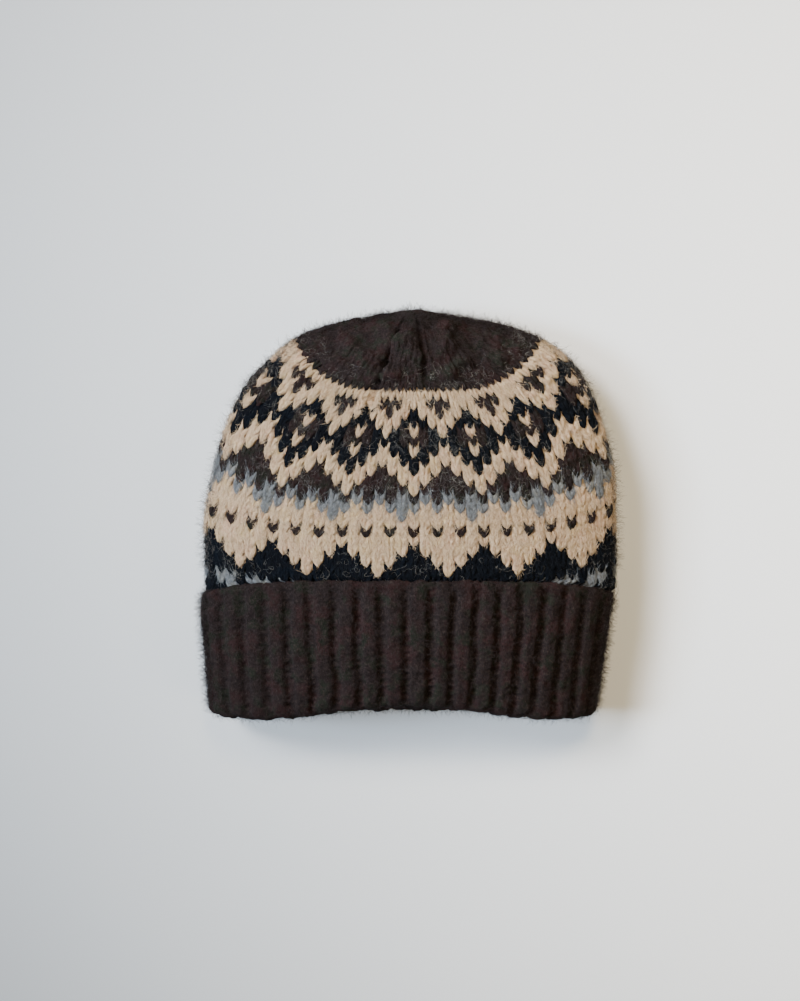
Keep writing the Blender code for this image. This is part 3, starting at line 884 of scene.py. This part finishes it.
chart_row = np.clip(row_of, 0, len(CHART) - 1)
chart_column = (column_of + CARRIED_SHIFT * carried) % chart_rows.shape[1]
letters = np.where(row_of >= len(CHART), "b", chart_rows[chart_row, chart_column])
slots = np.select([letters == "c", letters == "k", letters == "b"], [0, 1, 2], 3)
wrong_side.data.polygons.foreach_set("material_index", slots.ravel().astype(np.int32))


# Hairs
# Brushing has also raised loose fibres. Short ones lie along the stitches and blur their edges, long
# curly light ones lie over the dark wool, and a halo stands off the outline. Each strand stands for
# a lock of two or three fibres.
STRAND_ROLL = 0.7
STRAND_WAVE = 0.00025
STRAND_TAPER = 0.65
EDGE_CLEAR = 0.002


def strands(face, row, turn, heading, length, curl, lift, rise, half_width, segments, seed):
    """Points, polygons and fibre values of tapered strands that start at rows and turns of a face,
    run along it with some curl, and rise from it."""
    chance = np.random.default_rng(seed)
    count = len(row)
    step = (length / segments)[:, None] * np.ones(segments)
    steady, changing = chance.standard_normal((count, 1)), chance.standard_normal((count, segments))
    turning = curl * (steady + 0.8 * changing)
    angle = heading[:, None] + np.cumsum(turning, axis=1)
    start = np.zeros((count, 1))
    north = np.concatenate((start, np.cumsum(step * np.cos(angle), axis=1)), 1)
    east = np.concatenate((start, np.cumsum(step * np.sin(angle), axis=1)), 1)
    per_row = np.linalg.norm(sample(face, "along", row, turn), axis=1)[:, None]
    per_turn = np.linalg.norm(sample(face, "across", row, turn), axis=1)[:, None]
    rows_at = row[:, None] + north / np.maximum(per_row, 0.001)
    turns_at = turn[:, None] + east / np.maximum(per_turn, 0.02)
    share = np.linspace(0.0, 1.0, segments + 1)
    normal = sample(face, "normals", rows_at, turns_at)
    normal /= np.linalg.norm(normal, axis=2)[:, :, None]
    wave = STRAND_WAVE * np.cumsum(chance.standard_normal((count, segments + 1)), axis=1) * share
    height = lift + rise[:, None] * share**1.4 + np.abs(wave)
    line = sample(face, "points", rows_at, turns_at) + normal * height[..., None]
    heading_at = np.gradient(line, axis=1)
    heading_at /= np.maximum(np.linalg.norm(heading_at, axis=2), 1e-9)[:, :, None]
    flat = np.cross(heading_at, normal)
    flat /= np.maximum(np.linalg.norm(flat, axis=2), 1e-9)[:, :, None]
    roll = STRAND_ROLL * chance.standard_normal((count, 1, 1))
    side = flat * np.cos(roll) + np.cross(heading_at, flat) * np.sin(roll)
    width = (half_width * (1.0 - STRAND_TAPER * share))[None, :, None]
    points = np.stack((line - side * width, line + side * width), 2)
    strip = [(2 * at, 2 * at + 1, 2 * at + 3, 2 * at + 2) for at in range(segments)]
    starts = (np.arange(count) * 2 * (segments + 1))[:, None, None]
    polygons = (starts + np.array(strip)).reshape(-1, 4).tolist()
    fibre = np.zeros((count, segments + 1, 2, 3))
    fibre[..., 0] = (share * 4.0)[None, :, None]
    fibre[..., 2] = (np.arange(count) * NUMBER_STEP % NUMBER_SPAN)[:, None, None]
    return points, polygons, fibre


def spread_turns(chance, count, front_share):
    """Random turns, most of them on the front of the hat."""
    front = chance.random(count) < front_share
    return np.where(front, chance.uniform(-0.27, 0.27, count), chance.uniform(0.27, 0.73, count))


def any_way(chance, count):
    """Random headings all round."""
    return chance.uniform(0.0, 2.0 * math.pi, count)


def hair_wool(name, colour, other):
    """Single fibres: smooth, almost without shine, and each lock its own shade."""
    material, tree, shader = blank_material(name)
    fibre = add(tree, "ShaderNodeAttribute", {
        "attribute_type": "GEOMETRY", "attribute_name": "fibre"}, {})
    shade = add(tree, "ShaderNodeTexNoise", {}, {"Vector": fibre.outputs["Vector"], "Scale": 0.9})
    share = add(tree, "ShaderNodeMapRange", {}, {
        "Value": shade.outputs["Fac"], "From Min": 0.35, "From Max": 0.65})
    mixed = add(tree, "ShaderNodeMix", {"data_type": "RGBA"}, {
        "Factor": share.outputs["Result"], "A": linear(colour), "B": linear(other)})
    tree.links.new(mixed.outputs["Result"], shader.inputs["Base Color"])
    shader.inputs["Roughness"].default_value = 0.65
    shader.inputs["Specular IOR Level"].default_value = 0.08
    return material


cream_hair = hair_wool("cream_fibres", "ccb69a", "b4997c")
dark_hair = hair_wool("black_fibres", "0a0d12", "12161c")
brown_hair = hair_wool("brown_fibres", "221c1c", "332b2a")
grey_hair = hair_wool("grey_fibres", "828587", "585b5e")
light_hair = hair_wool("light_fibres", "8c867d", "4c4e50")
outline_hair = hair_wool("outline_fibres", "6b6660", "222225")

# Short fibres that brushing pulled along the columns. Those that reach another colour are tufts.
ROW_LENGTH = ROW_MM / 1000.0
for letter, name, material, tries, tuft_share in (
    # letter of the chart, piece, material, places tried, length left where it reaches another colour
    ("c", "cream_brushed_fibres", cream_hair, 58000, 0.45),
    ("g", "grey_brushed_fibres", grey_hair, 64000, 1.0),
    ("k", "black_brushed_fibres", dark_hair, 26000, 0.5),
    ("b", "brown_brushed_fibres", brown_hair, 28000, 0.8),
):
    chance = np.random.default_rng(50 + ord(letter))
    row = chance.uniform(1.5, 26.0, tries)
    turn = spread_turns(chance, tries, 0.75)
    height = sample(body_face, "points", row, turn)[:, 1]
    chosen = (stitch_colour(row, turn) == letter) & (height > cuff_edge(turn) + EDGE_CLEAR)
    row, turn = row[chosen], turn[chosen]
    count = len(row)
    downwards = chance.random(count) < 0.5
    length = chance.uniform(0.0018, 0.0042, count)
    ends_in = stitch_colour(row + np.where(downwards, -1.0, 1.0) * length / ROW_LENGTH, turn)
    length = np.where(ends_in == letter, length, tuft_share * length)
    show(name, *strands(
        body_face, row, turn, heading=math.pi * downwards + 0.30 * chance.standard_normal(count),
        length=length, curl=0.22, lift=0.0002, rise=chance.uniform(0.0001, 0.0011, count),
        half_width=0.00009, segments=2, seed=60 + ord(letter)),
        material, ["patterned_band"], "patterned_wool")

# Long curly light fibres over the dark wool, thick in some places and few in others
LIGHT_HAIR_SHARE = 0.33
LIGHT_HAIR_CHANGE = 0.42
chance = np.random.default_rng(71)
tries = 13500
row, turn = chance.uniform(2.0, 28.5, tries), spread_turns(chance, tries, 0.75)
height = sample(body_face, "points", row, turn)[:, 1]
dark = np.isin(stitch_colour(row, turn), ("k", "b")) & (height > cuff_edge(turn) + EDGE_CLEAR)
dense = LIGHT_HAIR_SHARE + LIGHT_HAIR_CHANGE * drift(row, turn, 0.35, 40, 72)
chosen = dark & (chance.random(tries) < dense)
row, turn = row[chosen], turn[chosen]
count = len(row)
show("light_curly_hairs", *strands(
    body_face, row, turn, heading=any_way(chance, count), length=chance.uniform(0.004, 0.0105, count),
    curl=0.60, lift=0.00035, rise=chance.uniform(0.0002, 0.0016, count),
    half_width=0.00004, segments=10, seed=73),
    light_hair, ["patterned_band"], "patterned_wool")

# Brown fibres over the crown and the cuff, more of them near the start of each
CROWN_HAIR_START = 26.3
CROWN_HAIR_ROWS = 9.5
CUFF_HAIR_START = 0.2
CUFF_HAIR_ROWS = 18.3
chance = np.random.default_rng(81)
count = 5400
row = CROWN_HAIR_START + CROWN_HAIR_ROWS * chance.random(count) ** 1.3
turn = spread_turns(chance, count, 0.75)
show("crown_hairs", *strands(
    body_face, row, turn, heading=any_way(chance, count), length=chance.uniform(0.002, 0.006, count),
    curl=0.50, lift=0.0, rise=chance.uniform(0.0006, 0.0024, count),
    half_width=0.00006, segments=5, seed=82),
    brown_hair, ["crown"], "brown_wool")
count = 9000
row = CUFF_HAIR_START + CUFF_HAIR_ROWS * chance.random(count) ** 1.25
turn = spread_turns(chance, count, 0.78)
show("cuff_hairs", *strands(
    rib_face, row, turn, heading=any_way(chance, count), length=chance.uniform(0.002, 0.0045, count),
    curl=0.50, lift=-0.0003, rise=chance.uniform(0.0002, 0.0014, count),
    half_width=0.00007, segments=4, seed=83),
    brown_hair, ["ribbed_cuff"], "ribbed_brown_wool")

# The halo round the outline. Most of it stands on the side folds, and from TIP_HAIR_ROW all round.
TIP_HAIR_ROW = 34.8
HALO_WIDTH = 0.010
HALO_START = 0.0004
FOLD_HALO_REACH = 0.0034
chance = np.random.default_rng(91)
for name, face, row_span, count, reach, material, node, slot in (
    # piece, face, rows, strands, greatest rise in metres, material, node and slot
    ("band_halo", body_face, (5.0, 26.0), 3600, 0.0050, outline_hair,
     "patterned_band", "patterned_wool"),
    ("crown_halo", body_face, (26.0, 36.5), 3600, 0.0044, brown_hair, "crown", "brown_wool"),
    ("cuff_halo", rib_face, (0.3, 15.0), 4000, 0.0042, brown_hair, "ribbed_cuff", "ribbed_brown_wool"),
):
    row = chance.uniform(*row_span, count)
    turn = np.where(chance.random(count) < 0.5, 0.25, 0.75) + HALO_WIDTH * chance.standard_normal(count)
    near_tip = (face is body_face) & (row > TIP_HAIR_ROW)
    turn = np.where(near_tip, chance.random(count), turn)
    show(name, *strands(
        face, row, turn, heading=any_way(chance, count), length=chance.uniform(0.0025, 0.007, count),
        curl=0.75, lift=-0.0003, rise=HALO_START + reach * chance.random(count) ** 1.6,
        half_width=0.00009, segments=5, seed=92 + len(name)),
        material, [node], slot)
count = 2000
row, turn = chance.uniform(15.5, 18.5, count), spread_turns(chance, count, 0.6)
show("fold_halo", *strands(
    rib_face, row, turn, heading=any_way(chance, count), length=chance.uniform(0.002, 0.005, count),
    curl=0.50, lift=-0.0003, rise=HALO_START + FOLD_HALO_REACH * chance.random(count) ** 1.6,
    half_width=0.00007, segments=5, seed=99),
    brown_hair, ["ribbed_cuff"], "ribbed_brown_wool")

low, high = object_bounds()
